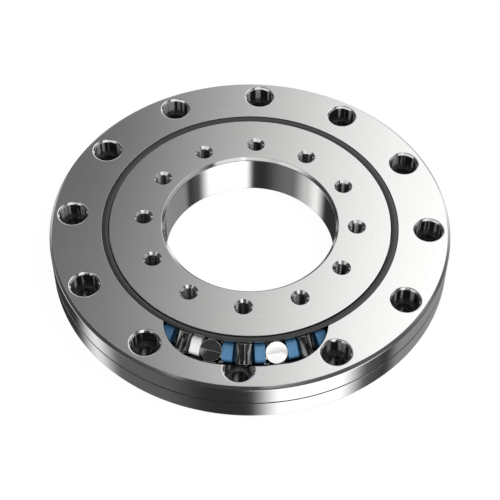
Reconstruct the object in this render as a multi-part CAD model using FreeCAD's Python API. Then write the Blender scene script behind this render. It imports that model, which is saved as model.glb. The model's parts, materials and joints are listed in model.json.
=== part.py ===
"""Crossed roller bearing with mounting holes and a display window, in millimetres.

The axis is Z, the origin is the centre of the bottom face, and the window faces -Y.
Rollers stand crosswise in a square race, every second one tipped the other way, with a
spacer between each two. The outer ring is two halves screwed together, the inner ring is
one piece, and a seal closes the gap on each side.
"""
import FreeCAD, Part
import math
import os

# Rings: the rollers' circle, and how far each ring reaches from it
ROLLER_CIRCLE = 150.0
OUTER_RING_REACH = 30.0
INNER_RING_REACH = 30.0
WIDTH = 25.0
EDGE_CHAMFER = 1.5
RING_GAP = 1.2

# Outer ring: counterbored mounting holes, one of them at the front
OUTER_HOLE_COUNT = 12
OUTER_HOLE_INSET = 11.5
OUTER_HOLE_DIAMETER = 9.0
COUNTERBORE_DIAMETER = 14.0
COUNTERBORE_DEPTH = 8.6
COUNTERBORE_CHAMFER = 1.0

# Inner ring: tapped holes right through, countersunk at the top
INNER_HOLE_COUNT = 12
INNER_HOLE_INSET = 11.0
TAPPED_HOLE_DIAMETER = 6.8
COUNTERSINK_DIAMETER = 9.6

# Rollers and the square race
ROLLER_COUNT = 30
ROLLER_DIAMETER = 11.2
ROLLER_END_PLAY = 0.7
FIRST_ROLLER_ANGLE = -89.0
RACE_CLEARANCE = 0.1
RACE_RELIEF = 0.2
RACE_RELIEF_HEIGHT = 1.0

# Spacers between the rollers
SPACER_SIDE_PLAY = 1.4
SPACER_WRAP = 0.5
SPACER_CORNER = 1.3
SPACER_CLEARANCE = 0.15

# Seals: each sits on a step of the outer ring and runs on a land of the inner ring
SEAL_STEP = 2.2
SEAL_LAND_STEP = 0.6
SEAL_THICKNESS = 2.1
SEAL_RECESS = 0.3
SEAL_LIP_CHAMFER = 0.6
SEAL_CLEARANCE = 0.15

# Joint of the outer ring's halves, at mid-width
UPPER_JOINT_CHAMFER = 0.4
LOWER_JOINT_CHAMFER = 0.6

# Cap screws that hold the halves together, from below
SCREW_COUNT = 6
SCREW_DIAMETER = 4.0
SCREW_REACH = 6.5
SCREW_HEAD_DIAMETER = 7.0
SCREW_HEAD_HEIGHT = 4.0
SCREW_SOCKET_ACROSS = 3.0
SCREW_SOCKET_DEPTH = 2.0
SCREW_HEAD_SUNK = 0.4
SCREW_HEAD_CLEARANCE = 0.3
SCREW_HOLE_CLEARANCE = 0.2
SCREW_THREAD_CLEARANCE = 0.03
SCREW_TIP_SPACE = 1.5

# Display window: a bean-shaped slot that leans inwards as it goes down to mid-width
WINDOW_ANGLE = -88.5
WINDOW_HALF_SPAN = 13.5
WINDOW_CORNER_RADIUS = 25.2
WINDOW_LEAN = 55.5
WINDOW_LEDGE = 0.15
WINDOW_SEAL_INSET = 0.5

# Worked out from the sizes above
MIDDLE = WIDTH / 2
PITCH_RADIUS = ROLLER_CIRCLE / 2
OUTER_RADIUS = PITCH_RADIUS + OUTER_RING_REACH
BORE_RADIUS = PITCH_RADIUS - INNER_RING_REACH
OUTER_HOLE_RADIUS = OUTER_RADIUS - OUTER_HOLE_INSET
INNER_HOLE_RADIUS = BORE_RADIUS + INNER_HOLE_INSET
OUTER_LAND = PITCH_RADIUS + RING_GAP / 2
INNER_LAND = PITCH_RADIUS - RING_GAP / 2
SEAL_SEAT = OUTER_LAND + SEAL_STEP
SEAL_LAND = INNER_LAND - SEAL_LAND_STEP
SEAL_TOP = WIDTH - SEAL_RECESS
SEAL_BOTTOM = SEAL_TOP - SEAL_THICKNESS
ROLLER_RADIUS = ROLLER_DIAMETER / 2
ROLLER_LENGTH = ROLLER_DIAMETER - ROLLER_END_PLAY
ROLLER_STEP = 360.0 / ROLLER_COUNT
WHITE_SPACER_NUMBER = ROLLER_COUNT - 1
RACE_HALF_DIAGONAL = (ROLLER_RADIUS + RACE_CLEARANCE) * math.sqrt(2)
RACE_DEPTH = RACE_HALF_DIAGONAL + RACE_RELIEF
RELIEF_HALF = RACE_RELIEF_HEIGHT / 2
WINDOW_SLOPE = 1 / math.tan(math.radians(WINDOW_LEAN))
WINDOW_RIM = PITCH_RADIUS + RACE_DEPTH + WINDOW_LEDGE + MIDDLE * WINDOW_SLOPE
OVERSHOOT = 1.0
FRONT = -90.0
Z_AXIS = FreeCAD.Vector(0, 0, 1)
ORIGIN = FreeCAD.Vector(0, 0, 0)


def polar(radius, degrees, height=0.0):
    """The point at a radius, an angle about the axis and a height."""
    angle = math.radians(degrees)
    return FreeCAD.Vector(radius * math.cos(angle), radius * math.sin(angle), height)


def turned(outline):
    """A solid of revolution about Z from (radius, height) points."""
    points = [FreeCAD.Vector(radius, 0, height) for radius, height in outline]
    face = Part.Face(Part.makePolygon(points + points[:1]))
    return face.revolve(ORIGIN, Z_AXIS, 360)


def spin(shape, degrees):
    """A copy of a shape, turned about the bearing's axis."""
    copy = shape.copy()
    copy.rotate(ORIGIN, Z_AXIS, degrees)
    return copy


def ring_of(shape, count, first):
    """Copies of a shape made at angle zero, spread evenly from the first angle."""
    return [spin(shape, first + 360.0 * index / count) for index in range(count)]


def countersink(circle_radius, rim_radius):
    """A 45 degree cone that breaks the edge of a hole at the top face."""
    point = FreeCAD.Vector(circle_radius, 0, WIDTH - rim_radius)
    height = rim_radius + OVERSHOOT
    return Part.makeCone(0, height, height, point, Z_AXIS)


def outer_ring_half():
    """The half ring above mid-width: race flank, seal seat and chamfered rim."""
    apex = PITCH_RADIUS + RACE_HALF_DIAGONAL
    return [
        (PITCH_RADIUS + RACE_DEPTH, MIDDLE),
        (PITCH_RADIUS + RACE_DEPTH, MIDDLE + RELIEF_HALF),
        (apex - RELIEF_HALF, MIDDLE + RELIEF_HALF),
        (OUTER_LAND, MIDDLE + apex - OUTER_LAND),
        (OUTER_LAND, SEAL_BOTTOM),
        (SEAL_SEAT, SEAL_BOTTOM),
        (SEAL_SEAT, WIDTH),
        (OUTER_RADIUS - EDGE_CHAMFER, WIDTH),
        (OUTER_RADIUS, WIDTH - EDGE_CHAMFER),
    ]


def mirrored(outline):
    """The same outline below mid-width, in the opposite order."""
    return [(radius, WIDTH - height) for radius, height in reversed(outline)]


def mounting_hole_cutters():
    """Through holes, counterbores and their chamfers in the outer ring."""
    below = FreeCAD.Vector(OUTER_HOLE_RADIUS, 0, -OVERSHOOT)
    floor = FreeCAD.Vector(OUTER_HOLE_RADIUS, 0, WIDTH - COUNTERBORE_DEPTH)
    through = Part.makeCylinder(OUTER_HOLE_DIAMETER / 2, WIDTH + 2 * OVERSHOOT, below)
    bore = Part.makeCylinder(COUNTERBORE_DIAMETER / 2, COUNTERBORE_DEPTH + OVERSHOOT, floor)
    rim = countersink(OUTER_HOLE_RADIUS, COUNTERBORE_DIAMETER / 2 + COUNTERBORE_CHAMFER)
    cutter = through.fuse([bore, rim]).removeSplitter()
    return ring_of(cutter, OUTER_HOLE_COUNT, FRONT)


def first_screw_angle():
    """Half a hole spacing from the front mounting hole."""
    return FRONT + 180.0 / OUTER_HOLE_COUNT


def screw_head_cutters():
    """Head pockets and clearance holes in the lower half."""
    base = FreeCAD.Vector(OUTER_HOLE_RADIUS, 0, -OVERSHOOT)
    head = SCREW_HEAD_DIAMETER / 2 + SCREW_HEAD_CLEARANCE
    pocket = Part.makeCylinder(head, SCREW_HEAD_SUNK + SCREW_HEAD_HEIGHT + OVERSHOOT, base)
    hole = Part.makeCylinder(SCREW_DIAMETER / 2 + SCREW_HOLE_CLEARANCE, MIDDLE + 2 * OVERSHOOT, base)
    return ring_of(pocket.fuse(hole), SCREW_COUNT, first_screw_angle())


def screw_tip_cutters():
    """Blind tapped holes in the upper half."""
    base = FreeCAD.Vector(OUTER_HOLE_RADIUS, 0, MIDDLE - OVERSHOOT)
    depth = SCREW_REACH + SCREW_TIP_SPACE + OVERSHOOT
    hole = Part.makeCylinder(SCREW_DIAMETER / 2 + SCREW_THREAD_CLEARANCE, depth, base)
    return ring_of(hole, SCREW_COUNT, first_screw_angle())


def window_cutter():
    """The slot of a broad leaning cutter, swept round the axis over the window's span."""
    left, right = FRONT - WINDOW_HALF_SPAN, FRONT + WINDOW_HALF_SPAN
    rim = [polar(WINDOW_RIM, angle) for angle in (left, FRONT, right)]

    def corner(angle, side):
        middle = polar(WINDOW_RIM - WINDOW_CORNER_RADIUS, angle)
        return [middle + polar(WINDOW_CORNER_RADIUS, angle + side * turn) for turn in (0, 45, 90)]

    right_corner, left_corner = corner(right, 1), corner(left, -1)
    arcs = [Part.Arc(*points).toShape() for points in (rim, right_corner, left_corner)]
    closing = Part.LineSegment(right_corner[-1], left_corner[-1]).toShape()
    outline = Part.Wire(Part.__sortEdges__(arcs + [closing]))
    height = MIDDLE + 2 * OVERSHOOT
    outline.translate(FreeCAD.Vector(0, -OVERSHOOT * WINDOW_SLOPE, WIDTH + OVERSHOOT))
    cutter = Part.Face(outline).extrude(FreeCAD.Vector(0, height * WINDOW_SLOPE, -height))
    return spin(cutter, WINDOW_ANGLE - FRONT)


def outer_ring_upper():
    """The upper half: the mounting holes' counterbores, the window and the screws' threads."""
    joint = [(OUTER_RADIUS, MIDDLE + UPPER_JOINT_CHAMFER), (OUTER_RADIUS - UPPER_JOINT_CHAMFER, MIDDLE)]
    half = turned(outer_ring_half() + joint)
    return half.cut(mounting_hole_cutters() + screw_tip_cutters() + [window_cutter()])


def outer_ring_lower():
    """The lower half: plain through holes, screw head pockets and the joint's larger chamfer."""
    joint = [(OUTER_RADIUS - LOWER_JOINT_CHAMFER, MIDDLE), (OUTER_RADIUS, MIDDLE - LOWER_JOINT_CHAMFER)]
    half = turned(joint + mirrored(outer_ring_half()))
    return half.cut(mounting_hole_cutters() + screw_head_cutters())


def inner_ring():
    """One piece with both race flanks, the seals' running lands and the tapped holes."""
    apex = PITCH_RADIUS - RACE_HALF_DIAGONAL
    shoulder = SEAL_BOTTOM - SEAL_CLEARANCE
    upper = [
        (BORE_RADIUS, WIDTH - EDGE_CHAMFER),
        (BORE_RADIUS + EDGE_CHAMFER, WIDTH),
        (SEAL_LAND, WIDTH),
        (SEAL_LAND, shoulder),
        (INNER_LAND, shoulder),
        (INNER_LAND, MIDDLE + INNER_LAND - apex),
        (apex + RELIEF_HALF, MIDDLE + RELIEF_HALF),
        (PITCH_RADIUS - RACE_DEPTH, MIDDLE + RELIEF_HALF),
    ]
    below = FreeCAD.Vector(INNER_HOLE_RADIUS, 0, -OVERSHOOT)
    hole = Part.makeCylinder(TAPPED_HOLE_DIAMETER / 2, WIDTH + 2 * OVERSHOOT, below)
    cutter = hole.fuse(countersink(INNER_HOLE_RADIUS, COUNTERSINK_DIAMETER / 2))
    return turned(upper + mirrored(upper)).cut(ring_of(cutter, INNER_HOLE_COUNT, FRONT))


def seal():
    """A flat ring that sits on the outer ring's step, with a bevelled lip at the inner ring."""
    lip = SEAL_LAND + SEAL_CLEARANCE
    return turned([(lip, SEAL_BOTTOM), (SEAL_SEAT, SEAL_BOTTOM), (SEAL_SEAT, SEAL_TOP),
                   (lip + SEAL_LIP_CHAMFER, SEAL_TOP), (lip, SEAL_TOP - SEAL_LIP_CHAMFER)])


def upper_seal():
    """The seal with its outer edge cut back at a slant in the window, so that the rollers show."""
    start = polar(WINDOW_SEAL_INSET, FRONT + 180, SEAL_TOP)
    start -= FreeCAD.Vector(0, WINDOW_SLOPE, -1) * OVERSHOOT
    circle = Part.Face(Part.Wire(Part.makeCircle(SEAL_SEAT, start, Z_AXIS)))
    depth = SEAL_THICKNESS + 2 * OVERSHOOT
    kept = circle.extrude(FreeCAD.Vector(0, WINDOW_SLOPE, -1) * depth)
    return seal().cut(window_cutter().cut(spin(kept, WINDOW_ANGLE - FRONT)))


def lower_seal():
    """The whole seal under the bearing."""
    return seal().mirror(FreeCAD.Vector(0, 0, MIDDLE), Z_AXIS)


def ring_screw():
    """One socket head cap screw at angle zero, head down."""
    start = FreeCAD.Vector(OUTER_HOLE_RADIUS, 0, SCREW_HEAD_SUNK)
    seat = start + Z_AXIS * SCREW_HEAD_HEIGHT
    head = Part.makeCylinder(SCREW_HEAD_DIAMETER / 2, SCREW_HEAD_HEIGHT, start)
    shank = Part.makeCylinder(SCREW_DIAMETER / 2, MIDDLE + SCREW_REACH - seat.z, seat)
    corner = SCREW_SOCKET_ACROSS / math.sqrt(3)
    mouth = start - Z_AXIS * OVERSHOOT
    corners = [mouth + polar(corner, 60 * side) for side in range(7)]
    socket = Part.Face(Part.makePolygon(corners)).extrude(Z_AXIS * (SCREW_SOCKET_DEPTH + OVERSHOOT))
    return head.fuse(shank).cut(socket)


def ring_screws():
    """The screws that hold the outer ring's halves together."""
    return Part.makeCompound(ring_of(ring_screw(), SCREW_COUNT, first_screw_angle()))


def roller_angle(number):
    """Angle of a roller's centre about the bearing's axis; numbers start at 1."""
    return FIRST_ROLLER_ANGLE + (number - 1) * ROLLER_STEP


def roller_axis(number):
    """Odd rollers lean in towards the top, even ones lean out."""
    lean = -1 if number % 2 else 1
    return (polar(lean, roller_angle(number)) + Z_AXIS).normalize()


def crossed_cylinder(number, radius, length):
    """A cylinder on a roller's own axis, centred on the roller."""
    axis = roller_axis(number)
    centre = polar(PITCH_RADIUS, roller_angle(number), MIDDLE)
    return Part.makeCylinder(radius, length, centre - axis * (length / 2), axis)


def roller(number):
    """One of the crossed rollers."""
    return crossed_cylinder(number, ROLLER_RADIUS, ROLLER_LENGTH)


def spacer_blank(angle):
    """A block set square to the race, with its four long corners taken off."""
    half = (ROLLER_DIAMETER - SPACER_SIDE_PLAY) / 2
    cut = half - SPACER_CORNER
    width = 2 * (PITCH_RADIUS * math.sin(math.radians(ROLLER_STEP / 2)) - ROLLER_RADIUS + SPACER_WRAP)
    section = [(half, cut), (cut, half), (-cut, half), (-half, cut),
               (-half, -cut), (-cut, -half), (cut, -half), (half, -cut)]
    out, along = polar(1, angle), polar(1, angle + 90)
    up_out, up_in = (Z_AXIS + out).normalize(), (Z_AXIS - out).normalize()
    start = polar(PITCH_RADIUS, angle, MIDDLE) - along * (width / 2)
    corners = [start + up_out * a + up_in * b for a, b in section]
    return Part.Face(Part.makePolygon(corners + corners[:1])).extrude(along * width)


def spacer(number):
    """The spacer after a roller, hollowed on both sides to cradle its two neighbours."""
    after = number % ROLLER_COUNT + 1
    radius, length = ROLLER_RADIUS + SPACER_CLEARANCE, 2 * ROLLER_LENGTH
    hollows = [crossed_cylinder(beside, radius, length) for beside in (number, after)]
    return spacer_blank(roller_angle(number) + ROLLER_STEP / 2).cut(hollows)


def spacer_nodes():
    """Blue spacers in opposite pairs, the white one and its opposite on their own."""
    half = ROLLER_COUNT // 2
    nodes = {"white_spacer": spacer(WHITE_SPACER_NUMBER)}
    for number in range(1, half + 1):
        pair = [n for n in (number, number + half) if n != WHITE_SPACER_NUMBER]
        name = f"spacer_pair_{number:02d}" if len(pair) == 2 else "single_spacer"
        nodes[name] = Part.makeCompound([spacer(n) for n in pair])
    return nodes


def pieces():
    """Every piece by its name."""
    nodes = {
        "outer_ring_upper": outer_ring_upper(),
        "outer_ring_lower": outer_ring_lower(),
        "inner_ring": inner_ring(),
        "upper_seal": upper_seal(),
        "lower_seal": lower_seal(),
        "ring_screws": ring_screws(),
    }
    nodes.update({f"roller_{n:02d}": roller(n) for n in range(1, ROLLER_COUNT + 1)})
    nodes.update(spacer_nodes())
    return nodes


def main():
    """Writes one STEP file for each piece and prints its solids and volume."""
    os.makedirs("parts", exist_ok=True)
    for name, shape in pieces().items():
        shape.exportStep(os.path.join("parts", name + ".step"))
        print(f"{name}: {len(shape.Solids)} solid(s), {shape.Volume:.1f} mm3, valid {shape.isValid()}")


main()
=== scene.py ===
"""Looks of the crossed roller bearing: turned rings, polished rollers, moulded spacers and rubber seals.

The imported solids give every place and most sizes. Outlines are written in millimetres as (radius, height)
about the bearing's axis, and become metres when a mesh is finished. Each turned outline ends in a narrow strip of
the flat face that it opens into, so that the face between the outlines stays plane.
"""
import json
import logging
import math
from collections.abc import Callable, Sequence
from dataclasses import dataclass, field
from enum import Enum

import bmesh
import bpy
from mathutils import Matrix, Vector


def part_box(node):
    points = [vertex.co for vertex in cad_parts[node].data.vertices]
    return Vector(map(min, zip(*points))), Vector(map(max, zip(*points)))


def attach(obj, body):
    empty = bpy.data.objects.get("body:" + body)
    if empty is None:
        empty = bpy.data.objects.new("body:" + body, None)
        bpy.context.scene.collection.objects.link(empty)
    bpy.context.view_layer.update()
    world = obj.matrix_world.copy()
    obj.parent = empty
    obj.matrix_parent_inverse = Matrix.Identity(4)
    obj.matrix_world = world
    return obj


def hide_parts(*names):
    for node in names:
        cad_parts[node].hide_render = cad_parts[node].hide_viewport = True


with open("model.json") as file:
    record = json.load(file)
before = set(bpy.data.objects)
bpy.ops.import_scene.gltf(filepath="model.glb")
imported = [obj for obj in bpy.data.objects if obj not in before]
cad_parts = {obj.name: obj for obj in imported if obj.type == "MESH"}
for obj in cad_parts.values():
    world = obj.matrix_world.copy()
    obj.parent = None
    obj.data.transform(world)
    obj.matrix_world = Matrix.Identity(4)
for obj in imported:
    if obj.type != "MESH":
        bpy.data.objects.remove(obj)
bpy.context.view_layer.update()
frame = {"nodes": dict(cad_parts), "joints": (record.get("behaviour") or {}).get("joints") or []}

MM = 0.001
RING_SEGMENTS = 240
BORE_SEGMENTS = 48
THREAD_SEGMENTS = 32
# The front of the bearing in degrees, and the angles that still count as smooth or flat
FRONT = -90.0
SMOOTH_ANGLE = math.radians(27)
FLAT_ANGLE = math.radians(0.1)
# What is merged or dissolved in a mesh, and the flat strip beside a turned outline, in millimetres
MERGE_DISTANCE = 0.0005
SHORTEST_EDGE = 0.0002
STRIP = 0.3
# How much of an edge a rounding may take, and how far a cutter reaches past what it cuts
ARC_SHARE = 0.48
CUT_MARGIN = 1.0
# Which faces take a piece's second material, which paints shade: by their distance from a hole's wall and from the
# joint's chamfer
PAINTED_SHADE_SLOT = 1
HOLE_MARGIN = 0.01
GROOVE_MARGIN = 0.05
GROOVE_SHARE = 0.75

Point = tuple[float, float]
Colour = tuple[float, float, float]
Rim = list[bmesh.types.BMVert]
Object = bpy.types.Object
Material = bpy.types.Material
Node = bpy.types.Node
Socket = bpy.types.NodeSocket
Tree = bpy.types.NodeTree
log = logging.getLogger("bearing")


class Slot(Enum):
    """The record's material slots."""

    RING = "ring_steel"
    ROLLER = "roller_steel"
    SEAL = "seal_rubber"
    BLUE = "blue_plastic"
    WHITE = "white_plastic"
    SCREW = "screw_steel"


class Face(Enum):
    """The two flat sides of the bearing, as the sign of their direction along Z."""

    TOP = 1
    BOTTOM = -1


# Outlines and meshes


@dataclass(frozen=True)
class Corner:
    """A corner of a turned outline in millimetres, and the radius that breaks its edge."""

    radius: float
    height: float
    rounding: float = 0.0

    @property
    def place(self) -> Vector:
        """The corner as a flat vector."""
        return Vector((self.radius, self.height))


def rounded(corners: Sequence[Corner], steps: int = 4) -> list[Point]:
    """Turns corners into points, with an arc at each corner that has a rounding.

    Args:
        corners: The outline's corners in order; the first and last stay as they are.
        steps: How many chords make one arc.

    Returns:
        The outline's points as (radius, height).
    """
    points = [tuple(corners[0].place)]
    for before, corner, after in zip(corners, corners[1:], corners[2:]):
        here = corner.place
        if not corner.rounding:
            points.append(tuple(here))
            continue
        back, ahead = (before.place - here), (after.place - here)
        half = back.angle(ahead) / 2
        reach = min(corner.rounding / math.tan(half), ARC_SHARE * back.length, ARC_SHARE * ahead.length)
        back, ahead = back.normalized(), ahead.normalized()
        centre = here + (back + ahead).normalized() * reach / math.cos(half)
        start, end = here + back * reach - centre, here + ahead * reach - centre
        turn = start.angle_signed(end)
        for step in range(steps + 1):
            points.append(tuple(centre + Matrix.Rotation(-turn * step / steps, 2) @ start))
    points.append(tuple(corners[-1].place))
    return points


class MeshMaker:
    """Collects the surfaces of one solid in a bmesh, in millimetres."""

    def __init__(self) -> None:
        """Starts with an empty mesh."""
        self.mesh = bmesh.new()

    def ring(self, radius: float, height: float, segments: int, centre: Point = (0.0, 0.0)) -> Rim:
        """Adds a circle of vertices.

        Args:
            radius: The circle's radius.
            height: The circle's height.
            segments: How many vertices it has.
            centre: The axis that it stands round.

        Returns:
            The circle's vertices.
        """
        turns = [k * (2 * math.pi / segments) for k in range(segments)]
        return [self.mesh.verts.new((centre[0] + radius * math.cos(turn), centre[1] + radius * math.sin(turn), height))
                for turn in turns]

    def bridge(self, first: Rim, second: Rim) -> None:
        """Joins two rims that have as many vertices with a band of faces."""
        for quad in zip(first, first[1:] + first[:1], second[1:] + second[:1], second):
            self.mesh.faces.new(quad)

    def wall(self, outline: Sequence[Point], segments: int, centre: Point = (0.0, 0.0),
             closed: bool = False) -> tuple[Rim, Rim]:
        """Turns an outline about an axis.

        Args:
            outline: The (radius, height) points.
            segments: How many steps go round.
            centre: The axis that it is turned about.
            closed: Whether the last point joins the first.

        Returns:
            The first and the last rim.
        """
        rims = [self.ring(radius, height, segments, centre) for radius, height in outline]
        for first, second in zip(rims, rims[1:] + (rims[:1] if closed else [])):
            self.bridge(first, second)
        return rims[0], rims[-1]

    def flat(self, rims: Sequence[Rim]) -> None:
        """Fills the flat face between rims; a single rim becomes one face."""
        if len(rims) == 1:
            self.mesh.faces.new(rims[0])
            return
        edges = []
        for rim in rims:
            for pair in zip(rim, rim[1:] + rim[:1]):
                edges.append(self.mesh.edges.get(pair) or self.mesh.edges.new(pair))
        bmesh.ops.triangle_fill(self.mesh, use_beauty=True, use_dissolve=False, edges=edges)

    def finish(self, name: str) -> Object:
        """Closes the mesh, turns it to metres and makes it an object.

        Args:
            name: The object's name.

        Returns:
            The new object, smooth but for its sharp edges.
        """
        bmesh.ops.remove_doubles(self.mesh, verts=self.mesh.verts, dist=MERGE_DISTANCE)
        bmesh.ops.dissolve_degenerate(self.mesh, edges=self.mesh.edges, dist=SHORTEST_EDGE)
        bmesh.ops.recalc_face_normals(self.mesh, faces=self.mesh.faces)
        bmesh.ops.scale(self.mesh, vec=(MM, MM, MM), verts=self.mesh.verts)
        data = bpy.data.meshes.new(name)
        self.mesh.to_mesh(data)
        self.mesh.free()
        return smooth_object(name, data)


def smooth_object(name: str, data: bpy.types.Mesh) -> Object:
    """Makes an object of a mesh with smooth faces, sharp edges where it turns, and weighted normals.

    Args:
        name: The object's name.
        data: The mesh, in metres.

    Returns:
        The object, linked to the scene.
    """
    data.polygons.foreach_set("use_smooth", [True] * len(data.polygons))
    data.set_sharp_from_angle(angle=SMOOTH_ANGLE)
    piece = bpy.data.objects.new(name, data)
    bpy.context.scene.collection.objects.link(piece)
    weighted = piece.modifiers.new("even_shading", "WEIGHTED_NORMAL")
    weighted.keep_sharp = True
    weighted.weight = 100
    return piece


def polar(radius: float, degrees: float) -> Point:
    """The flat point at a radius and an angle about the axis."""
    return radius * math.cos(math.radians(degrees)), radius * math.sin(math.radians(degrees))


def hole_circle(radius: float, count: int, first: float = FRONT) -> list[Point]:
    """Centres spread evenly over a circle, from the first angle on."""
    return [polar(radius, first + 360 / count * k) for k in range(count)]


def stand_in(piece: Object, node: str, body: str) -> Object:
    """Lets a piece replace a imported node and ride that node's body."""
    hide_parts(node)
    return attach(piece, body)


def copied(pattern: Object, name: str, place: Matrix) -> Object:
    """A copy of a pattern, linked to the scene at a place, that shares the pattern's mesh."""
    piece = pattern.copy()
    piece.name = name
    bpy.context.scene.collection.objects.link(piece)
    piece.matrix_world = place
    return piece


# Shader nodes


class Graph:
    """Adds and links nodes in one node tree."""

    def __init__(self, tree: Tree) -> None:
        """Keeps the tree that nodes go into."""
        self.tree = tree

    def node(self, kind: str, inputs: dict | None = None, **settings: object) -> Node:
        """Adds a node.

        Args:
            kind: The node's type.
            inputs: Values or sockets to link, by the input's name or index.
            settings: The node's own properties.

        Returns:
            The node.
        """
        made = self.tree.nodes.new(kind)
        for key, value in settings.items():
            setattr(made, key, value)
        for key, value in (inputs or {}).items():
            if isinstance(value, Socket):
                self.tree.links.new(value, made.inputs[key])
            else:
                made.inputs[key].default_value = value
        return made

    def link(self, value: Socket, node: Node, name: str) -> None:
        """Links a value to a node's input."""
        self.tree.links.new(value, node.inputs[name])

    def math(self, operation: str, *values: object) -> Socket:
        """The result of a Math node on values or sockets."""
        return self.node("ShaderNodeMath", dict(enumerate(values)), operation=operation).outputs[0]

    def vector(self, operation: str, *values: object, output: str = "Vector", **named: object) -> Socket:
        """One result of a Vector Math node on values or sockets."""
        inputs = {**dict(enumerate(values)), **named}
        return self.node("ShaderNodeVectorMath", inputs, operation=operation).outputs[output]

    def noise(self, place: Socket, **inputs: object) -> Socket:
        """The value of a noise texture at a place."""
        return self.node("ShaderNodeTexNoise", {"Vector": place, **inputs}).outputs["Fac"]

    def here(self) -> Socket:
        """The shaded place in the piece's own coordinates."""
        return self.node("ShaderNodeTexCoord").outputs["Object"]

    def mean(self, first: Socket, second: Socket) -> Socket:
        """The mean of two values."""
        return self.math("ADD", self.math("MULTIPLY", first, 0.5), self.math("MULTIPLY", second, 0.5))

    def span(self, value: Socket, low: object, high: object, to: Point = (0.0, 1.0),
             smooth: bool = False) -> Socket:
        """Maps a value from one range to another.

        Args:
            value: The socket to map.
            low: What becomes the first end, a number or a socket.
            high: What becomes the second end.
            to: The two ends of the result.
            smooth: Whether the change eases in and out.

        Returns:
            The mapped value's socket.
        """
        inputs = {"Value": value, "From Min": low, "From Max": high, "To Min": to[0], "To Max": to[1]}
        kind = "SMOOTHSTEP" if smooth else "LINEAR"
        return self.node("ShaderNodeMapRange", inputs, interpolation_type=kind).outputs["Result"]

    def about(self, pattern: Socket, middle: float, spread: float) -> Socket:
        """A value that a noise pattern moves up and down about its middle."""
        return self.span(pattern, 0.2, 0.8, (middle - spread, middle + spread))

    def blend(self, share: Socket, first: Colour, second: Colour) -> Socket:
        """A colour between two, by a share from 0 to 1."""
        mix = self.node("ShaderNodeMix", {"Factor": share}, data_type="RGBA")
        mix.inputs[6].default_value = (*first, 1)
        mix.inputs[7].default_value = (*second, 1)
        return mix.outputs[2]


class Effect(Enum):
    """The shared shader effects, each a node group that is built once."""

    LAY = "turned_lay"
    GRAIN = "moulded_grain"
    HAZE = "handling_haze"
    SOFTBOX = "softbox"


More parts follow.
